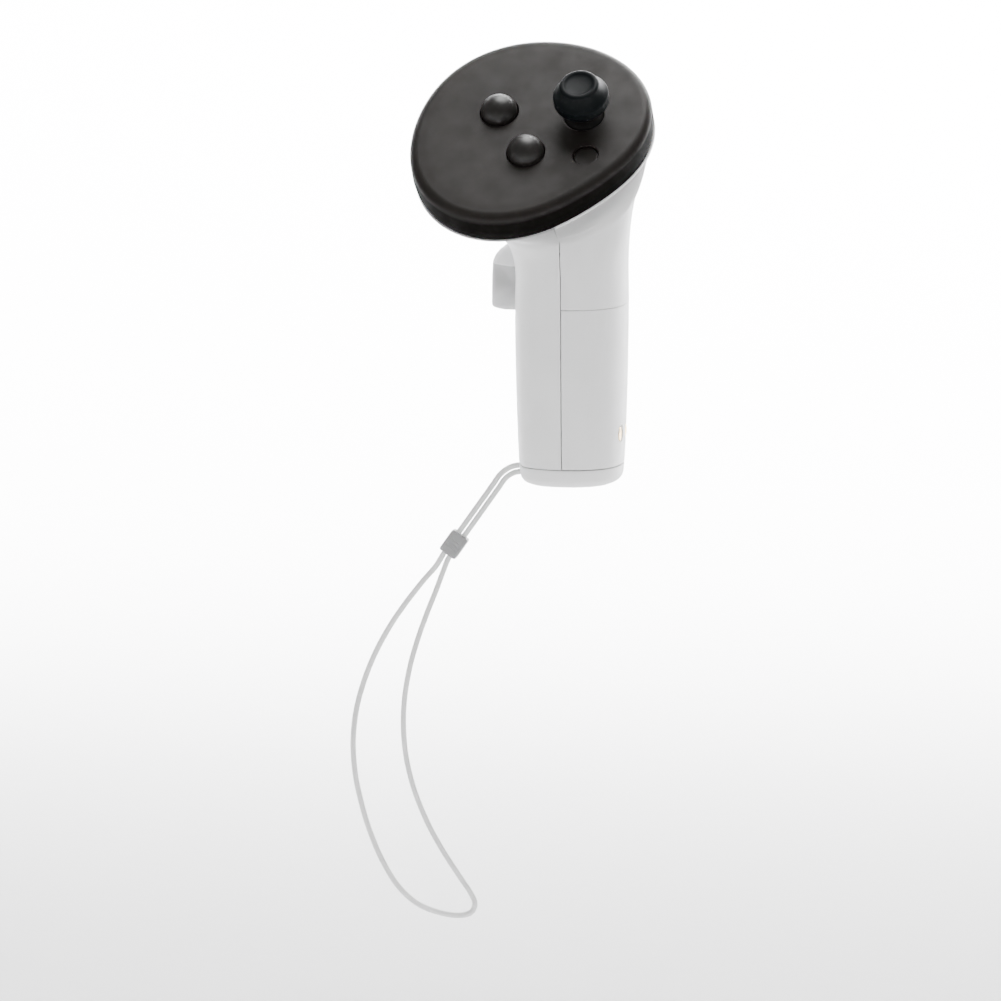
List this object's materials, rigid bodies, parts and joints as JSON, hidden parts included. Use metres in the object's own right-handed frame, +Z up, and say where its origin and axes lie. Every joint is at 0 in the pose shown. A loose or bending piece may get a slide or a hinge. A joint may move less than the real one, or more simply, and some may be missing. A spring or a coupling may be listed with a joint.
{
  "type": "vr motion controller",
  "caption": "Hand-held VR motion controller: tilted disc head with thumbstick, domed keys and menu key, white handle with index trigger, grip button, battery bay and wrist strap.",
  "frame": {"origin": "middle of the flat end face of the handle, where the controller stands in its charging dock", "axes": "+Z up along the handle's axis to the head, -Z out of the flat end; the user and the thumb side of the head are on -Y, the index trigger on +Y, and the grip button and the disc's overhang on -X"},
  "size_m": [0.0837, 0.0599, 0.2414],
  "materials": {
    "black_plastic": "fine matte",
    "white_plastic": "satin white",
    "grey_plastic": "satin light grey",
    "key_black": "soft gloss",
    "stick_rubber": "matte rubber",
    "dark_plastic": "matte",
    "frame_plastic": "matte",
    "steel": "drawn",
    "magnet": "nickel plated",
    "circuit_board": "solder mask",
    "silicone": "soft silicone",
    "film": "polyimide film",
    "led_window": "clear dark",
    "cell_wrap": null,
    "contact_gold": "gold plated",
    "zinc": "cast",
    "cord_textile": "braided",
    "slider_grey": "satin"
  },
  "bodies": {
    "controller": {"face_cover": "black_plastic", "inner_shell": "white_plastic", "outer_shell": "white_plastic", "end_cap": "white_plastic", "head_frame": "frame_plastic", "handle_chassis": "frame_plastic", "main_board": "circuit_board", "key_membrane": "silicone", "stick_base": "dark_plastic", "stick_switch": "dark_plastic", "stick_spring": "steel", "led_strip": "film", "tracking_leds": "led_window", "trigger_pin": "steel", "trigger_spring": "steel", "trigger_sensor": "circuit_board", "grip_pin": "steel", "grip_spring": "steel", "battery_cell": "cell_wrap", "battery_spring": "steel", "battery_plate": "steel", "haptic_motor": "zinc", "handle_board": "circuit_board", "ribbon_cable": "film", "cover_screws": "steel", "shell_screws": "steel", "strap_anchor": "dark_plastic", "strap_cord": "cord_textile"},
    "stick_ring": {"gimbal_ring": "steel"},
    "stick_block": {"gimbal_block": "dark_plastic"},
    "thumbstick": {"thumbstick_cap": "stick_rubber", "stick_post": "steel", "dust_dome": "dark_plastic"},
    "upper_button": {"upper_key": "key_black"},
    "lower_button": {"lower_key": "key_black"},
    "menu_button": {"menu_key": "black_plastic"},
    "trigger": {"index_trigger": "dark_plastic", "trigger_magnet": "magnet"},
    "grip": {"grip_button": "grey_plastic", "grip_magnet": "magnet"},
    "battery_door": {"battery_cover": "white_plastic", "charge_contacts": "contact_gold"},
    "slider": {"strap_slider": "slider_grey"}
  },
  "joints": [
    {"name": "stick_pitch", "type": "hinge", "parent": "controller", "child": "stick_ring", "pos_m": [0.0029, 0.00636, 0.0972], "axis": [1, 0, 0], "range_deg": [-18, 18], "stiffness_Nm_per_rad": 0.03},
    {"name": "stick_roll", "type": "hinge", "parent": "stick_ring", "child": "stick_block", "pos_m": [0.0029, 0.00636, 0.0972], "axis": [0, 0.766, 0.6428], "range_deg": [-18, 18], "stiffness_Nm_per_rad": 0.03},
    {"name": "stick_click", "type": "slide", "parent": "stick_block", "child": "thumbstick", "axis": [0, 0.6428, -0.766], "range_m": [0, 0.0004], "stiffness_N_per_m": 4000, "springref_m": -0.0002},
    {"name": "upper_press", "type": "slide", "parent": "controller", "child": "upper_button", "axis": [0, 0.6428, -0.766], "range_m": [0, 0.0008], "stiffness_N_per_m": 900, "springref_m": -0.0002},
    {"name": "lower_press", "type": "slide", "parent": "controller", "child": "lower_button", "axis": [0, 0.6428, -0.766], "range_m": [0, 0.0008], "stiffness_N_per_m": 900, "springref_m": -0.0002},
    {"name": "menu_press", "type": "slide", "parent": "controller", "child": "menu_button", "axis": [0, 0.6428, -0.766], "range_m": [0, 0.0005], "stiffness_N_per_m": 1200, "springref_m": -0.0002},
    {"name": "trigger_pull", "type": "hinge", "parent": "controller", "child": "trigger", "pos_m": [-0.0067, 0.02316, 0.10191], "axis": [-1, 0, 0], "range_deg": [0, 18], "stiffness_Nm_per_rad": 0.12, "springref_deg": -6.88},
    {"name": "grip_squeeze", "type": "hinge", "parent": "controller", "child": "grip", "pos_m": [-0.0092, 0.001, 0.0645], "axis": [0, -1, 0], "range_deg": [0, 10], "stiffness_Nm_per_rad": 0.2, "springref_deg": -4.58},
    {"name": "battery_cover_off", "type": "slide", "parent": "controller", "child": "battery_door", "axis": [1, 0, 0], "range_m": [0, 0.04]},
    {"name": "slider_slide", "type": "slide", "parent": "controller", "child": "slider", "axis": [0.5775, 0, 0.8164], "range_m": [0, 0.012]}
  ]
}
